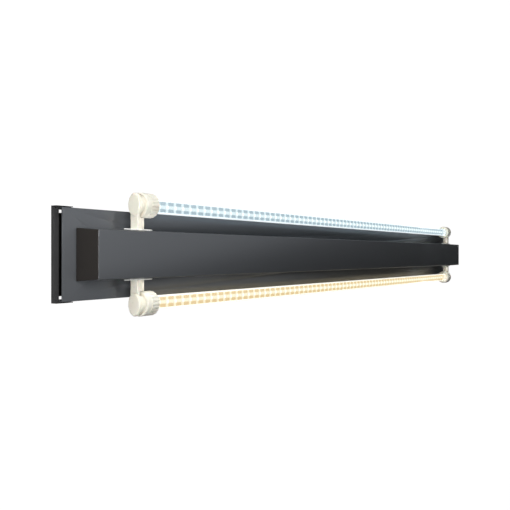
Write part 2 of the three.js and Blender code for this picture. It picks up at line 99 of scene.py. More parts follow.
def area_light(name, place, target, size, power, color=(1, 1, 1), mirrored=False):
    """A rectangular light aimed at target. Only a mirrored one shows in reflections."""
    data = bpy.data.lights.new(name, "AREA")
    data.shape = "RECTANGLE"
    data.size, data.size_y = size
    data.energy = power
    data.color = color
    data.spread = math.pi
    light = bpy.data.objects.new(name, data)
    light.location = place
    light.rotation_mode = "QUATERNION"
    light.rotation_quaternion = (Vector(target) - Vector(place)).to_track_quat("-Z", "Y")
    light.visible_camera = False
    light.visible_glossy = mirrored
    bpy.context.scene.collection.objects.link(light)


def studio_lights():
    """One at each long side, one beyond each end, and a small one over the near end."""
    area_light("key", (-0.62, 1.3, 0.5), (-0.5, 0, 0), (0.7, 0.7), 12)
    area_light("near", (-0.82, 0.06, 0.42), (-0.66, 0, 0), (0.25, 0.25), 1.95, mirrored=True)
    area_light("front", (-2.2, 0.15, 0.25), (-0.5, 0, 0), (1.0, 1.0), 12)
    area_light("far", (2.4, 0, 0.12), (0.5, 0, 0), (1.0, 0.6), 24)
    area_light("low_side", (-0.8, -1.3, 0.5), (-0.55, 0, 0), (0.7, 0.7), 2.5)


DOME_TOP = 0.78                 # the dome's strength where its ramps say 1
DOME_LEAN = 0.7                 # how much brighter the +Y side is than the middle
DOME_TINT = (0.97, 0.985, 1.0, 1)
DOME_TURN = -0.1, 0.5           # cosines to +X between which one ramp gives way to the other
# Brightness by the sine of the elevation, as (sine, share of the dome's top strength): the first ramp holds
# towards +X and the second one elsewhere.
AHEAD_DOME = [(0.0, 0.002), (0.3, 0.003), (0.5, 0.006), (0.62, 0.04), (0.7, 0.34), (0.76, 0.95), (0.86, 0.7),
              (1.0, 0.1)]
AROUND_DOME = [(0.0, 0.3), (0.35, 0.34), (0.6, 0.14), (1.0, 0.05)]


def world_ramp(nodes, links, height, stops):
    ramp = nodes.new("ShaderNodeFloatCurve")
    curve = ramp.mapping.curves[0]
    while len(curve.points) < len(stops):
        curve.points.new(0.5, 0.5)
    for point, stop in zip(curve.points, stops):
        point.location = stop
        point.handle_type = "AUTO_CLAMPED"
    ramp.mapping.update()
    links.new(height, ramp.inputs["Value"])
    return ramp.outputs["Value"]


def make_world():
    """A dome with a bright band half way up towards +X and a soft glow elsewhere.

    The camera sees it plain white.
    """
    world = bpy.data.worlds.new("dome")
    bpy.context.scene.world = world
    world.use_nodes = True
    nodes, links = world.node_tree.nodes, world.node_tree.links
    shade, seen = nodes["Background"], nodes.new("ShaderNodeBackground")
    seen.inputs["Color"].default_value = (1, 1, 1, 1)
    seen.inputs["Strength"].default_value = 1.0
    direction = nodes.new("ShaderNodeTexCoord")
    axes = nodes.new("ShaderNodeSeparateXYZ")
    links.new(direction.outputs["Generated"], axes.inputs[0])
    turn = nodes.new("ShaderNodeMapRange")
    turn.interpolation_type = "SMOOTHSTEP"
    turn.inputs["From Min"].default_value, turn.inputs["From Max"].default_value = DOME_TURN
    links.new(axes.outputs["X"], turn.inputs["Value"])
    mix = nodes.new("ShaderNodeMix")
    links.new(turn.outputs["Result"], mix.inputs["Factor"])
    links.new(world_ramp(nodes, links, axes.outputs["Z"], AROUND_DOME), mix.inputs["A"])
    links.new(world_ramp(nodes, links, axes.outputs["Z"], AHEAD_DOME), mix.inputs["B"])
    lean = nodes.new("ShaderNodeMapRange")
    lean.inputs["From Min"].default_value = -1
    lean.inputs["To Min"].default_value = DOME_TOP * (1 - DOME_LEAN)
    lean.inputs["To Max"].default_value = DOME_TOP * (1 + DOME_LEAN)
    links.new(axes.outputs["Y"], lean.inputs["Value"])
    strength = nodes.new("ShaderNodeMath")
    strength.operation = "MULTIPLY"
    links.new(mix.outputs["Result"], strength.inputs[0])
    links.new(lean.outputs["Result"], strength.inputs[1])
    links.new(strength.outputs[0], shade.inputs["Strength"])
    shade.inputs["Color"].default_value = DOME_TINT
    seen_by_camera(nodes, links, seen, shade, nodes["World Output"])


def seen_by_camera(nodes, links, seen, unseen, output):
    """Shows one shader to the camera and gives another to the light that bounces about."""
    ray = nodes.new("ShaderNodeLightPath")
    both = nodes.new("ShaderNodeMixShader")
    links.new(ray.outputs["Is Camera Ray"], both.inputs[0])
    links.new(unseen.outputs[0], both.inputs[1])
    links.new(seen.outputs[0], both.inputs[2])
    links.new(both.outputs[0], output.inputs["Surface"])


FLOOR_HALF = 8
FLOOR_DROP = 0.5 * MM           # the light's back stays clear of the floor by this much
FLOOR_BOUNCE = 0.3


def make_floor():
    """A floor that looks plain white and throws back as much light as a mid grey one."""
    half = FLOOR_HALF
    data = bpy.data.meshes.new("floor")
    corners = [(-half, -half, 0), (half, -half, 0), (half, half, 0), (-half, half, 0)]
    data.from_pydata(corners, [], [(0, 1, 2, 3)])
    floor = bpy.data.objects.new("floor", data)
    floor.location.z = -FLOOR_DROP
    material = bpy.data.materials.new("floor")
    material.use_nodes = True
    nodes, links = material.node_tree.nodes, material.node_tree.links
    seen, bounce = nodes["Principled BSDF"], nodes.new("ShaderNodeBsdfDiffuse")
    seen.inputs["Base Color"].default_value = (0.05, 0.05, 0.05, 1)
    seen.inputs["Roughness"].default_value = 0.9
    seen.inputs["Specular IOR Level"].default_value = 0.1
    seen.inputs["Emission Color"].default_value = (1, 1, 1, 1)
    seen.inputs["Emission Strength"].default_value = 1.0
    bounce.inputs["Color"].default_value = (FLOOR_BOUNCE, FLOOR_BOUNCE, FLOOR_BOUNCE, 1)
    seen_by_camera(nodes, links, seen, bounce, nodes["Material Output"])
    data.materials.append(material)
    bpy.context.scene.collection.objects.link(floor)


# ---------- materials ----------
class Look:
    """A procedural material: one Principled shader and the nodes that feed it."""

    def __init__(self, name, color, **sockets):
        self.material = bpy.data.materials.new(name)
        self.material.use_nodes = True
        self.nodes = self.material.node_tree.nodes
        self.links = self.material.node_tree.links
        self.shader = self.nodes["Principled BSDF"]
        self.shader.inputs["Base Color"].default_value = (*color, 1)
        self.place = self.nodes.new("ShaderNodeTexCoord").outputs["Object"]
        for label, value in sockets.items():
            socket = self.shader.inputs[label.replace("_", " ")]
            socket.default_value = (*value, 1) if isinstance(value, tuple) else value

    def axes(self):
        """The place on the object, as its X, Y and Z."""
        node = self.nodes.new("ShaderNodeSeparateXYZ")
        self.links.new(self.place, node.inputs[0])
        return node.outputs

    def noise(self, scale, detail, stretch=(1, 1, 1)):
        """Noise of so many cells to the metre, stretched along the axes."""
        mapping = self.nodes.new("ShaderNodeMapping")
        mapping.inputs["Scale"].default_value = stretch
        self.links.new(self.place, mapping.inputs["Vector"])
        texture = self.nodes.new("ShaderNodeTexNoise")
        texture.inputs["Scale"].default_value = scale
        texture.inputs["Detail"].default_value = detail
        self.links.new(mapping.outputs[0], texture.inputs["Vector"])
        return texture.outputs["Fac"]

    def mixed(self, factor, a, b):
        """A colour between a and b, each a plain colour or a socket."""
        mix = self.nodes.new("ShaderNodeMix")
        mix.data_type = "RGBA"
        self.links.new(factor, mix.inputs["Factor"])
        for socket, value in ((mix.inputs[6], a), (mix.inputs[7], b)):
            if isinstance(value, tuple):
                socket.default_value = (*value, 1)
            else:
                self.links.new(value, socket)
        return mix.outputs[2]

    def ranged(self, value, low, high, start=0.0, end=1.0):
        """Maps value from low..high to start..end, held at the ends."""
        node = self.nodes.new("ShaderNodeMapRange")
        node.inputs["From Min"].default_value = low
        node.inputs["From Max"].default_value = high
        node.inputs["To Min"].default_value = start
        node.inputs["To Max"].default_value = end
        self.links.new(value, node.inputs["Value"])
        return node.outputs["Result"]

    def combined(self, operation, a, b=None):
        """One operation on sockets or plain numbers."""
        node = self.nodes.new("ShaderNodeMath")
        node.operation = operation
        for socket, value in zip(node.inputs, (a, b)):
            if isinstance(value, (int, float)):
                socket.default_value = value
            elif value is not None:
                self.links.new(value, socket)
        return node.outputs[0]

    def away(self, value, middle):
        """How far value is from middle, either way."""
        return self.combined("ABSOLUTE", self.combined("SUBTRACT", value, middle))

    def feed(self, label, value):
        self.links.new(value, self.shader.inputs[label])

    def bump(self, height, depth, strength):
        node = self.nodes.new("ShaderNodeBump")
        node.inputs["Distance"].default_value = depth
        node.inputs["Strength"].default_value = strength
        self.links.new(height, node.inputs["Height"])
        self.feed("Normal", node.outputs["Normal"])


# How fine the surfaces are, in noise cells to the metre, and how deep their grain is.
METAL_GRAIN, BRUSH_GRAIN, PLASTIC_GRAIN = 2600, 900, 1800
SATIN_DEPTH, MATT_DEPTH, GLOSS_DEPTH = 0.02 * MM, 0.03 * MM, 0.01 * MM
PLASTIC_CLOUD = 60


def anthracite():
    """Anodised dark grey aluminium: a fine grain, drawn a little along the light."""
    look = Look("anthracite", (0.13, 0.137, 0.147), Metallic=0.5, Specular_IOR_Level=0.2)
    grain = look.noise(METAL_GRAIN, 4, (0.35, 1, 1))
    cloud = look.noise(14, 2, (0.3, 1, 1))
    look.feed("Base Color", look.mixed(cloud, (0.119, 0.126, 0.136), (0.132, 0.139, 0.149)))
    look.feed("Roughness", look.ranged(look.combined("ADD", grain, cloud), 0.6, 1.4, 0.28, 0.34))
    look.bump(grain, SATIN_DEPTH, 0.5)
    return look.material


def plastic(name, color, rough, grain_depth=MATT_DEPTH, **sockets):
    """Moulded plastic with a fine grain and a slight unevenness of colour."""
    look = Look(name, color, **sockets)
    cloud = look.noise(PLASTIC_CLOUD, 2)
    darker = tuple(0.94 * c for c in color)
    look.feed("Base Color", look.mixed(look.ranged(cloud, 0.35, 0.65), darker, color))
    look.feed("Roughness", look.ranged(cloud, 0.3, 0.7, rough - 0.04, rough + 0.04))
    look.bump(look.noise(PLASTIC_GRAIN, 3), grain_depth, 0.6)
    return look.material


# The bracket's floor is painted near black over this strip, as the shade of the gap under the plate's end.
SHADE_STRIP_X, SHADE_STRIP_HALF = 612.6 * MM, 3.6 * MM      # from the light's middle to the strip's, and half its width


def bracket():
    """Matt dark grey plastic, with painted shade: a black strip that runs between the two square holes, where
    the gap under the plate's end lies in shadow.
    """
    look = Look("bracket_plastic", (0.036, 0.036, 0.037), Roughness=0.5, Specular_IOR_Level=0.3)
    # Painted shade: within the strip the colour goes near black and the specular almost out.
    from_shade_strip = look.away(look.combined("ABSOLUTE", look.axes()["X"]), SHADE_STRIP_X)
    painted_shade_strip = look.ranged(from_shade_strip, SHADE_STRIP_HALF, SHADE_STRIP_HALF + 0.2 * MM, 1, 0)
    cloud = look.ranged(look.noise(PLASTIC_CLOUD, 2), 0.35, 0.65)
    plain = look.mixed(cloud, (0.034, 0.034, 0.035), (0.038, 0.038, 0.039))
    look.feed("Base Color", look.mixed(painted_shade_strip, plain, (0.002, 0.002, 0.002)))
    look.feed("Specular IOR Level", look.ranged(painted_shade_strip, 0, 1, 0.3, 0.02))
    look.bump(look.noise(PLASTIC_GRAIN, 3), MATT_DEPTH, 0.6)
    return look.material


def bare_metal(name, color, rough, stretch):
    look = Look(name, color, Metallic=1.0)
    brush = look.noise(BRUSH_GRAIN, 4, stretch)
    look.feed("Roughness", look.ranged(brush, 0.3, 0.7, rough - 0.08, rough + 0.1))
    look.bump(brush, SATIN_DEPTH, 0.5)
    return look.material


def circuit_board():
    look = Look("circuit_board", (0.02, 0.13, 0.05), Specular_IOR_Level=0.5)
    tracks = look.ranged(look.noise(400, 0, (0.3, 1, 1)), 0.5, 0.52)
    look.feed("Base Color", look.mixed(tracks, (0.015, 0.1, 0.04), (0.03, 0.19, 0.07)))
    look.feed("Roughness", look.ranged(tracks, 0, 1, 0.3, 0.4))
    return look.material


LED_PITCH = 13.8 * MM
LED_GLOW = 1.6 * MM, 3.4 * MM       # the board's glow fades from here to here along it, away from an LED
MIDDLE_GLOW = 1.3 * MM, 2.6 * MM    # and across it, away from its middle line


def lit_board(row):
    """A white board lit by its own LEDs: brightest across each LED and along the middle."""
    look = Look(f"board_{row}", (0.02, 0.02, 0.02), Roughness=0.6, Specular_IOR_Level=0.15)
    axes = look.axes()
    from_led = look.combined("PINGPONG", look.combined("ADD", axes["X"], 100 * LED_PITCH), LED_PITCH / 2)
    across = look.ranged(from_led, *LED_GLOW, 0.62, 0)
    along = look.ranged(look.away(axes["Y"], ROWS[row] * TUBE_Y), *MIDDLE_GLOW, 0.72, 0)
    light = look.combined("MAXIMUM", across, along)
    look.feed("Emission Color", look.mixed(light, DIM_GLOWS[row], BRIGHT_GLOWS[row]))
    look.shader.inputs["Emission Strength"].default_value = 1.0
    return look.material


def glowing(name, color, strength):
    """A lit surface, a little uneven."""
    look = Look(name, (0.02, 0.02, 0.02), Roughness=0.5, Specular_IOR_Level=0.2, Emission_Strength=strength)
    darker = tuple(0.92 * c for c in color)
    look.feed("Emission Color", look.mixed(look.noise(300, 1), darker, color))
    return look.material


def clear_tube(row):
    """Clear plastic lit from inside: open over the LEDs, white along the flanks where the light is caught."""
    look = Look(f"clear_tube_{row}", (0.9, 0.92, 0.93), Roughness=0.12, Emission_Strength=0.8)
    axes = look.axes()
    flank = look.ranged(look.away(axes["Y"], ROWS[row] * TUBE_Y), 0.76 * TUBE_R, 0.9 * TUBE_R)
    front = look.ranged(axes["Z"], TUBE_Z - 0.35 * TUBE_R, TUBE_Z + 0.1 * TUBE_R, 0.45, 0.9)
    look.feed("Alpha", look.combined("MAXIMUM", look.combined("MULTIPLY", flank, front), 0.08))
    glow = look.mixed(look.ranged(front, 0.45, 0.9), BEHIND_GLOWS[row], FLANK_GLOWS[row])
    look.feed("Emission Color", glow)
    return look.material


LOOKS = {
    "anthracite_metal": anthracite(),
    "end_cap_plastic": plastic("end_cap_plastic", (0.027, 0.024, 0.022), 0.5, Specular_IOR_Level=0.2),
    "bracket_plastic": bracket(),
    "cream_plastic": plastic("cream_plastic", (0.86, 0.805, 0.69), 0.3, GLOSS_DEPTH,
                             Subsurface_Weight=0.08, Coat_Weight=0.2, Coat_Roughness=0.2),
    "lid": plastic("lid", (0.76, 0.7, 0.59), 0.35, GLOSS_DEPTH),
    "white_plastic": plastic("white_plastic", (0.86, 0.86, 0.83), 0.35, GLOSS_DEPTH),
    "carrier_aluminium": bare_metal("carrier_aluminium", (0.8, 0.81, 0.82), 0.3, (0.03, 1, 1)),
    "seal_rubber": plastic("seal_rubber", (0.02, 0.02, 0.02), 0.7),
    "screw_steel": bare_metal("screw_steel", (0.7, 0.71, 0.73), 0.28, (1, 1, 1)),
    "black_plastic": plastic("black_plastic", (0.012, 0.012, 0.013), 0.45),
    "circuit_board": circuit_board(),
    "wire_jacket": plastic("wire_jacket", (0.06, 0.06, 0.063), 0.5),
    "led_cold_white": lit_board("cold"),
    "led_warm_white": lit_board("warm"),
}


# ---------- mesh building ----------
SHARP = 35                      # degrees between faces that show as an edge


def make_piece(name, verts, faces, look, body, slot, replaced=(), sharp=SHARP):
    """A new piece that moves with a body of the record and stands in for any nodes it replaces."""
    mesh = bpy.data.meshes.new(name)
    mesh.from_pydata([tuple(v) for v in verts], [], faces)
    mesh.validate()
    finish_mesh(mesh, sharp)
    mesh.materials.append(look)
    piece = bpy.data.objects.new(name, mesh)
    bpy.context.scene.collection.objects.link(piece)
    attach(piece, body)
    if replaced:
        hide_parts(*replaced)
    return piece


def finish_mesh(mesh, sharp):
    """Faces out, smooth shading, and a crease wherever faces meet at more than so many degrees."""
    work = bmesh.new()
    work.from_mesh(mesh)
    bmesh.ops.recalc_face_normals(work, faces=work.faces)
    for face in work.faces:
        face.smooth = True
    for edge in work.edges:
        edge.smooth = edge.calc_face_angle(0) < math.radians(sharp)
    work.to_mesh(mesh)
    work.free()


def loft(loops, ring=False):
    """Verts and faces through loops of equal length.

    A ring joins its last loop to its first; otherwise both ends are closed.
    """
    count = len(loops[0])
    verts = [Vector(v) for loop in loops for v in loop]
    faces = []
    for i in range(len(loops) if ring else len(loops) - 1):
        a, b = i * count, (i + 1) % len(loops) * count
        for k in range(count):
            n = (k + 1) % count
            faces.append((a + k, a + n, b + n, b + k))
    if not ring:
        faces.append(tuple(reversed(range(count))))
        faces.append(tuple(range(len(verts) - count, len(verts))))
    return verts, faces


def oval(x, half_y, half_z, sides=ROUND):
    """An oval about the X axis."""
    angles = [2 * math.pi * k / sides for k in range(sides)]
    return [(x, half_y * math.cos(a), half_z * math.sin(a)) for a in angles]


def circle(x, radius, sides=ROUND):
    return oval(x, radius, radius, sides)


def turned(profile, sides, ring=False):
    """A body turned about the X axis from points of (x, radius)."""
    return loft([circle(x, radius, sides) for x, radius in profile], ring)


def arc(centre, radius, start, end, steps=5):
    """Points of a round corner in a profile, angles in degrees."""
    turns = [math.radians(start + (end - start) * k / steps) for k in range(steps + 1)]
    return [(centre[0] + radius * math.cos(t), centre[1] + radius * math.sin(t)) for t in turns]


def moved(shape, matrix):
    verts, faces = shape
    return [matrix @ v for v in verts], faces


def joined(*shapes):
    verts, faces = [], []
    for more_verts, more_faces in shapes:
        base = len(verts)
        verts += more_verts
        faces += [tuple(base + i for i in face) for face in more_faces]
    return verts, faces


# ---------- lamp fittings ----------
# All four corners share one layout, in a frame whose x runs from the socket cap's outer face towards the middle
# of the light, whose y points away from the channel, and whose origin is on the tube's axis.
CAP_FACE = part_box("socket_cap_cold_left")[0].x


def from_cap(node):
    """Where a node of the cold left corner starts and ends, from the cap's outer face."""
    low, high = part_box(f"{node}_cold_left")
    return low.x - CAP_FACE, high.x - CAP_FACE


GAP = 0.3 * MM                   # kept between pieces that touch
HEAD_START = from_cap("lamp_socket")[0]
COLLAR_END = from_cap("seal_ring")[0] - GAP
NUT_START, NUT_END = from_cap("lock_nut")
SEAL_END = from_cap("seal_ring")[1]
NUT_R = (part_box("lock_nut_cold_left")[1].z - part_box("lock_nut_cold_left")[0].z) / 2
HEAD_HALF_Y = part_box("lamp_socket_cold_left")[1].y - TUBE_Y
HEAD_HALF_Z = 8.6 * MM
HEAD_SHOULDER = HEAD_START + 4.4 * MM
COLLAR_R = 11.2 * MM
SOCKET_BORE_R = 9.2 * MM
ROTOR_FACE = from_cap("socket_rotor")[0] - GAP
STEM = 11 * MM                   # the square stem's width
STEM_STEP = 0.8 * MM             # the stem's outer face lies this much behind the head's
STEM_ROUND = 1 * MM
GROOVES, GROOVE_DEPTH = (1.8 * MM, -1.8 * MM), 0.35 * MM
FOOT_HALF_X, FOOT_HALF_Z = 7.5 * MM, 6.3 * MM
FOOT_START, FOOT_END = 2.5 * MM, 5.4 * MM       # inside the channel, from the stem's inner end
DIMPLE_Y, DIMPLE_R = 35 * MM, 0.9 * MM
THREAD_PITCH, THREAD_DEPTH, THREAD_STEP = 3 * MM, 0.9 * MM, 0.3 * MM
COLLAR_NECK_R = COLLAR_R - 1.2 * MM
PLAIN_BAND = 7.6 * MM            # the nut's plain part, before its ribs
RIBS, RIB_SIDES, RIB_DEPTH = 20, 12, 0.6 * MM


def corner_matrix(row, side):
    """From the fittings' frame to one corner: half turns, as the CAD places them."""
    x, y = -side, ROWS[row]
    turn = Matrix(((x, 0, 0), (0, y, 0), (0, 0, x * y)))
    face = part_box(f"socket_cap_{row}_{'left' if side < 0 else 'right'}")[0 if side < 0 else 1].x
    return Matrix.Translation((face, y * TUBE_Y, TUBE_Z)) @ turn.to_4x4()


def rounded_square(half_a, half_b, corner, steps=5):
    """Points round a rectangle with round corners, in two axes."""
    points = []
    for k, (side_a, side_b) in enumerate(((1, 1), (-1, 1), (-1, -1), (1, -1))):
        centre = side_a * (half_a - corner), side_b * (half_b - corner)
        points += arc(centre, corner, 90 * k, 90 * (k + 1), steps)
    return points


def eased(start, end, edge):
    """Stops along a bar as (place, inset), its ends drawn in by edge."""
    return [(start, edge), (start + edge, 0), (end - edge, 0), (end, edge)] if edge else [(start, 0), (end, 0)]


def bar_along_y(x_range, half_z, y_range, corner, edge=0.0):
    """A bar with round corners that runs along y, its ends eased by edge."""
    middle, half = (x_range[0] + x_range[1]) / 2, (x_range[1] - x_range[0]) / 2
    loops = []
    for y, inset in eased(*y_range, edge):
        outline = rounded_square(half - inset, half_z - inset, corner)
        loops.append([(middle + a, y, b) for a, b in outline])
    return loft(loops)


def socket_head():
    """The oval head: a full round from the lid's edge out to its sides."""
    steps, deep, edge = 10, 2 * MM, 0.5 * MM
    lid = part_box("socket_cap_cold_left")[1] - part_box("socket_cap_cold_left")[0]
    drop_y, drop_z = HEAD_HALF_Y - lid.y / 2 - GAP, HEAD_HALF_Z - lid.z / 2 - GAP
    turns = [math.pi / 2 * k / steps for k in range(steps + 1)]
    stops = [(HEAD_START + deep * (1 - math.cos(t)), 1 - math.sin(t)) for t in turns]
    loops = [oval(x, HEAD_HALF_Y - share * drop_y, HEAD_HALF_Z - share * drop_z) for x, share in stops]
    loops += [oval(HEAD_SHOULDER - edge, HEAD_HALF_Y, HEAD_HALF_Z)]
    loops += [oval(HEAD_SHOULDER, HEAD_HALF_Y - edge, HEAD_HALF_Z - edge)]
    return loft(loops)


def socket_collar():
    """The threaded collar, and the bore that the rotor and the tube's end sit in."""
    start = NUT_START + 0.5 * MM
    loops = [circle(HEAD_SHOULDER - 1 * MM, COLLAR_NECK_R), circle(start, COLLAR_NECK_R)]
    steps = int((COLLAR_END - 0.6 * MM - start) / THREAD_STEP)
    for k in range(1, steps):
        x = start + k * THREAD_STEP
        fade = min(1, k / 3, (steps - k) / 3)
        loop = []
        for n in range(ROUND):
            turn = 2 * math.pi * n / ROUND
            phase = (x / THREAD_PITCH - n / ROUND) % 1
            radius = COLLAR_R - fade * THREAD_DEPTH * min(1, 1.6 * abs(phase - 0.5))
            loop.append((x, radius * math.cos(turn), radius * math.sin(turn)))
        loops.append(loop)
    end = [(COLLAR_END - 0.4 * MM, COLLAR_R), (COLLAR_END, COLLAR_R - 0.4 * MM)]
    end += [(COLLAR_END, SOCKET_BORE_R), (ROTOR_FACE, SOCKET_BORE_R)]
    loops += [circle(x, radius) for x, radius in end]
    return loft(loops)


def stem_outline(half, inset):
    """A square bar's outline in (x, z), with round corners and two shallow grooves in its front and back."""
    size = half - inset
    groove = [(0.6 * MM, 0), (0.35 * MM, GROOVE_DEPTH), (-0.35 * MM, GROOVE_DEPTH), (-0.6 * MM, 0)]
    points = []
    for side in (1, -1):
        first, centre = 90 * (1 - side), side * (size - STEM_ROUND)
        points += arc((centre, centre), STEM_ROUND, first, first + 90)
        for middle in GROOVES:
            points += [(side * (middle + off), side * (size - depth)) for off, depth in groove]
        points += arc((-centre, centre), STEM_ROUND, first + 90, first + 180)
    return points


def socket_stem(start, end):
    """The grooved stem from start to end along y, a little shallower than it is wide."""
    middle, squeeze = HEAD_START + STEM / 2 + STEM_STEP / 2, (STEM - STEM_STEP) / STEM
    loops = []
    for y, inset in eased(start, end, 0.3 * MM):
        loops.append([(middle + a * squeeze, y, b) for a, b in stem_outline(STEM / 2, inset)])
    return loft(loops)


def lamp_socket(look, place, corner):
    """Head, collar, stem, the neck that joins them, and the foot inside the channel."""
    inner_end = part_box("lamp_socket_cold_left")[0].y - TUBE_Y
    under_nut = -(NUT_R + GAP)
    stem = socket_stem(inner_end, under_nut)
    neck_x, neck_y = (HEAD_START + STEM_STEP, HEAD_SHOULDER), (under_nut - 1.5 * MM, -6 * MM)
    neck = bar_along_y(neck_x, STEM / 2, neck_y, 0.6 * MM)
    middle = HEAD_START + STEM / 2
    foot_x = middle - FOOT_HALF_X, middle + FOOT_HALF_X
    foot_y = inner_end + FOOT_START, inner_end + FOOT_END
    foot = bar_along_y(foot_x, FOOT_HALF_Z, foot_y, 1 * MM, 0.3 * MM)
    shape = joined(socket_head(), socket_collar(), stem, neck, foot)
    node = f"lamp_socket_{place}"
    piece = make_piece(f"socket_body_{place}", *moved(shape, corner), look, "light", "cream_plastic", [node])
    dimple = turned([(HEAD_START - 1 * MM, DIMPLE_R), (HEAD_START + 2.2 * MM, DIMPLE_R)], 24)
    drill(piece, moved(dimple, corner @ Matrix.Translation((0, DIMPLE_Y - TUBE_Y, 0))))


def drill(piece, shape):
    """Cuts a closed shape out of a piece."""
    mesh = bpy.data.meshes.new("drill")
    mesh.from_pydata([tuple(v) for v in shape[0]], [], shape[1])
    finish_mesh(mesh, SHARP)
    cutter = bpy.data.objects.new("drill", mesh)
    bpy.context.scene.collection.objects.link(cutter)
    modifier = piece.modifiers.new("hole", "BOOLEAN")
    modifier.object = cutter
    modifier.solver = "EXACT"
    modifier.use_self = True
    bpy.context.view_layer.update()
    graph = bpy.context.evaluated_depsgraph_get()
    result = bpy.data.meshes.new_from_object(piece.evaluated_get(graph), depsgraph=graph)
    piece.modifiers.clear()
    piece.data = result
    finish_mesh(result, SHARP)
    bpy.data.objects.remove(cutter)


def socket_cap(look, place, corner):
    """The oval lid on the head's outer face, with a rounded rim and a shallow step inside it."""
    low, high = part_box("socket_cap_cold_left")
    half_y, half_z, thick = (high.y - low.y) / 2, (high.z - low.z) / 2, high.x - low.x
    edge = 0.3 * MM
    turns = 0, 0.4, 0.8, 1.2, math.pi / 2
    rim = [(thick, 0)] + [(edge - edge * math.sin(t), edge - edge * math.cos(t)) for t in turns]
    rim += [(0, 1.3 * MM), (edge, 1.6 * MM), (edge, 3 * MM)]
    loops = [oval(x, half_y - inset, half_z - inset) for x, inset in rim]
    make_piece(f"socket_lid_{place}", *moved(loft(loops), corner), look, "light", "cream_plastic",
               [f"socket_cap_{place}"])


def lock_nut(look, place, corner):
    """Ring nut: a plain band, a groove, then a ribbed grip with a rounded end."""
    start, end, ribs = NUT_START, NUT_END, NUT_START + PLAIN_BAND
    bore, lip = COLLAR_R + GAP, TUBE_R + 0.7 * MM
    seat = SEAL_END + GAP
    stops = [(x, radius, 0) for x, radius in arc((start + 1.1 * MM, NUT_R - 1.1 * MM), 1.1 * MM, 180, 90, 5)]
    stops += [(ribs - 0.9 * MM, NUT_R, 0), (ribs - 0.6 * MM, NUT_R - 0.45 * MM, 0)]
    stops += [(ribs - 0.2 * MM, NUT_R - 0.45 * MM, 0), (ribs + 0.1 * MM, NUT_R, 0.15)]
    stops += [(ribs + 0.8 * MM, NUT_R, 1), (end - 2.2 * MM, NUT_R, 1)]
    for x, radius in arc((end - 2 * MM, NUT_R - 2 * MM), 2 * MM, 80, 0, 6):
        stops.append((x, radius, max(0.0, (radius - NUT_R + 2 * MM) / (2 * MM))))
    stops += [(end, lip + 0.4 * MM, 0), (end - 0.4 * MM, lip, 0)]
    stops += [(seat, lip, 0), (seat, bore, 0), (start, bore, 0)]
    sides = RIBS * RIB_SIDES
    loops = []
    for x, radius, depth in stops:
        loop = []
        for n in range(sides):
            phase = (n / RIB_SIDES) % 1
            groove = max(0.0, 1 - abs(phase - 0.5) / 0.3)
            r = radius - depth * RIB_DEPTH * groove * groove * (3 - 2 * groove)
            turn = 2 * math.pi * n / sides
            loop.append((x, r * math.cos(turn), r * math.sin(turn)))
        loops.append(loop)
    shape = moved(loft(loops, ring=True), corner)
    make_piece(f"ring_nut_{place}", *shape, look, f"nut_{place}", "cream_plastic", [f"lock_nut_{place}"], 40)


CHANNEL_LEAN = math.atan(2.3 / 31.7)         # of the channel's side walls
FLANGE_HALF_Z, FLANGE_THICK = 8 * MM, 1.5 * MM


def socket_flange(look, place, row):
    """A thin oval plate with a round edge, against the channel's leaning side wall."""
    low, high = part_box(f"socket_flange_{place}")
    middle = (low + high) / 2
    half_x, half_z, thick = (high.x - low.x) / 2, FLANGE_HALF_Z, FLANGE_THICK
    window = rounded_square(STEM / 2, STEM / 2, 0.8 * MM, ROUND // 4 - 1)
    angles = [math.atan2(b, a) for a, b in window]
    rim = [(t, 0.5 * thick * (1 - math.sin(math.pi * t))) for t in (0, 0.12, 0.3, 0.5, 0.7, 0.88, 1)]
    loops = []
    for t, inset in rim:
        loops.append([((half_x - inset) * math.cos(a), (t - 0.5) * thick, (half_z - inset) * math.sin(a))
                      for a in angles])
    loops += [[(a, y * thick, b) for a, b in window] for y in (0.5, -0.5)]
    lean = Matrix.Rotation(ROWS[row] * CHANNEL_LEAN, 4, "X")
    shape = moved(loft(loops, ring=True), Matrix.Translation(middle) @ lean)
    make_piece(f"flange_{place}", *shape, look, "light", "white_plastic", [f"socket_flange_{place}"])


def end_cap_skin(end, side):
    """The end cap's outer skin, which covers the ends of the channel's walls."""
    low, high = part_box("channel_cover")
    face = side * high.x
    loops = []
    for out, inset in ((-0.2 * MM, 0.25 * MM), (0.35 * MM, 0.25 * MM), (0.6 * MM, 0.5 * MM)):
        x, back_y, back_z = face + side * out, high.y - inset, low.z + inset
        front_y, front_z = back_y - (high.z - low.z) * math.tan(CHANNEL_LEAN), high.z - inset
        loops.append([(x, -back_y, back_z), (x, back_y, back_z), (x, front_y, front_z), (x, -front_y, front_z)])
    make_piece(f"end_cap_skin_{end}", *loft(loops), LOOKS["end_cap_plastic"], "light", "end_cap_plastic")


# ---------- tubes ----------
def tube_shell(row):
    """The clear tube, its ends eased."""
    low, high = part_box(f"tube_shell_{row}")
    inner, ease = TUBE_R - 1 * MM, 0.3 * MM
    profile = [(low.x, inner), (low.x, TUBE_R - ease), (low.x + ease, TUBE_R)]
    profile += [(high.x - ease, TUBE_R), (high.x, TUBE_R - ease), (high.x, inner)]
    place = Matrix.Translation((0, ROWS[row] * TUBE_Y, TUBE_Z))
    shape, node = moved(turned(profile, 64, ring=True), place), f"tube_shell_{row}"
    make_piece(f"clear_tube_{row}", *shape, clear_tube(row), f"tube_{row}", "clear_tube", [node])


BOARD_MARGIN = 8 * MM            # from a board's end to the nearest place for an LED
PACKAGE_HALF, PACKAGE_HIGH = 2.5 * MM, 0.9 * MM
LENS_PROFILE = [(0.85 * MM, 2.0 * MM), (1.15 * MM, 1.9 * MM), (1.4 * MM, 1.4 * MM), (1.5 * MM, 0.5 * MM)]
PAD_HALF_X, PAD_HALF_Y, PAD_THICK, PAD_OFF = 4.5 * MM, 1.7 * MM, 0.15 * MM, 4.2 * MM


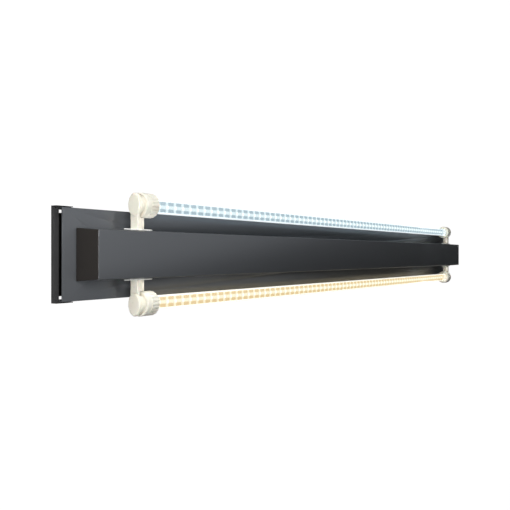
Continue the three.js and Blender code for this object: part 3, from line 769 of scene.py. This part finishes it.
def led_places(row):
    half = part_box(f"led_board_{row}")[1].x
    count = int((half - BOARD_MARGIN) / LED_PITCH)
    return [k * LED_PITCH for k in range(-count, count + 1)]


def block(centre, half, inset=0.0):
    """A box on a surface at centre, half[2] high, its top drawn in by inset."""
    bottom = rounded_square(half[0], half[1], 0.3 * MM, 2)
    top = rounded_square(half[0] - inset, half[1] - inset, 0.3 * MM, 2)
    x, y, z = centre
    return loft([[(x + a, y + b, z) for a, b in bottom], [(x + a, y + b, z + half[2]) for a, b in top]])


def lens(x, y, surface):
    """A low dome on an LED package."""
    turns = [2 * math.pi * k / 20 for k in range(20)]
    loops = []
    for z, r in LENS_PROFILE:
        loops.append([(x + r * math.cos(t), y + r * math.sin(t), surface + z) for t in turns])
    return loft(loops)


def led_rows(row):
    """LED packages, their phosphor lenses and the tinned pads between them."""
    y, surface = ROWS[row] * TUBE_Y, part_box(f"led_board_{row}")[1].z
    packages, lenses, pads = [], [], []
    for x in led_places(row):
        packages.append(block((x, y, surface), (PACKAGE_HALF, PACKAGE_HALF, PACKAGE_HIGH), 0.15 * MM))
        lenses.append(lens(x, y, surface))
    for x in led_places(row)[:-1]:
        for offset in (-PAD_OFF, PAD_OFF):
            centre = x + LED_PITCH / 2, y + offset, surface
            pads.append(block(centre, (PAD_HALF_X, PAD_HALF_Y, PAD_THICK)))
    slot, body = f"led_{row}_white", f"tube_{row}"
    bright, dim = BRIGHT_GLOWS[row], DIM_GLOWS[row]
    make_piece(f"led_packages_{row}", *joined(*packages), glowing(f"package_{row}", bright, 0.85), body, slot)
    make_piece(f"led_lenses_{row}", *joined(*lenses), glowing(f"lens_{row}", bright, 1.4), body, slot)
    make_piece(f"board_pads_{row}", *joined(*pads), glowing(f"pad_{row}", dim, 0.95), body, slot)


SPILL_SIZE = 0.985, 0.004
# Each as name, distance from the tube's axis towards the channel, height over the plate, and power.
SPILLS = [("line", 7.5 * MM, 3.0 * MM, 0.022), ("spread", 17 * MM, 16 * MM, 0.006)]


def tube_lights(row):
    """What a tube throws on the plate: a bright line beneath it and a faint spread towards the channel."""
    for name, from_axis, height, power in SPILLS:
        place = Vector((0, ROWS[row] * (TUBE_Y - from_axis), PLATE_FRONT_Z + height))
        area_light(f"{name}_{row}", place, place - Vector((0, 0, 1)), SPILL_SIZE, power, SPILL_GLOWS[row])


def far_fittings_fill(row):
    """A soft light along the outer side of one tube, onto the fittings at the far end."""
    side = ROWS[row]
    place, target = (0.34, side * 0.09, 0.035), (0.545, side * 0.052, 0.03)
    area_light(f"fittings_fill_{row}", place, target, (0.04, 0.04), 0.09)


def nut_fill(place, corner):
    """A soft light from the channel's side onto one nut, as the lit tube and the plate throw it back."""
    middle, rise = (NUT_START + NUT_END) / 2, Vector((0, 0, 8 * MM))
    start, target = corner @ Vector((middle, -23 * MM, 0)) + rise, corner @ Vector((middle, 0, 0)) + rise
    area_light(f"nut_fill_{place}", start, target, (0.016, 0.008), 0.0014)


# ---------- what the CAD model shows as it is ----------
ROUNDING = {
    "base_plate": 0.25 * MM, "channel_cover": 0.6 * MM, "back_cover": 0.2 * MM,
    "channel_end_cap_left": 0.35 * MM, "channel_end_cap_right": 0.35 * MM,
}
WELD = 0.01 * MM


def soften(node, width):
    """Smooth shading on a CAD node, and a narrow rounding of its edges or, without a width, crisp ones."""
    piece = frame["nodes"][node]
    for polygon in piece.data.polygons:
        polygon.use_smooth = True
    weld = piece.modifiers.new("weld", "WELD")
    weld.merge_threshold = WELD
    if width:
        bevel = piece.modifiers.new("bevel", "BEVEL")
        bevel.width = width
        bevel.segments = 2
        bevel.limit_method = "ANGLE"
        bevel.angle_limit = math.radians(40)
        bevel.harden_normals = True
    else:
        split = piece.modifiers.new("split", "EDGE_SPLIT")
        split.split_angle = math.radians(SHARP)


def dress_cad_nodes():
    """Gives every CAD node its look; the tube shells have none here, because new pieces replace them."""
    slots = {part["node"]: part["material_slot"] for part in frame["record"]["subparts"]}
    for name, node in frame["nodes"].items():
        look = LOOKS.get(slots[name])
        if look is None:
            continue
        node.data.materials.clear()
        node.data.materials.append(look)
        soften(name, ROUNDING.get(name, 0))


# ---------- assembly ----------
make_camera()
make_world()
make_floor()
studio_lights()
dress_cad_nodes()
cream, white = LOOKS["cream_plastic"], LOOKS["white_plastic"]
for end, side in ENDS.items():
    end_cap_skin(end, side)
for row in ROWS:
    tube_shell(row)
    led_rows(row)
    tube_lights(row)
    far_fittings_fill(row)
    for end, side in ENDS.items():
        place, corner = f"{row}_{end}", corner_matrix(row, side)
        lamp_socket(cream, place, corner)
        nut_fill(place, corner)
        socket_cap(LOOKS["lid"], place, corner)
        lock_nut(cream, place, corner)
        socket_flange(white, place, row)

bpy.context.scene.view_settings.view_transform = "Standard"

bpy.context.view_layer.update()
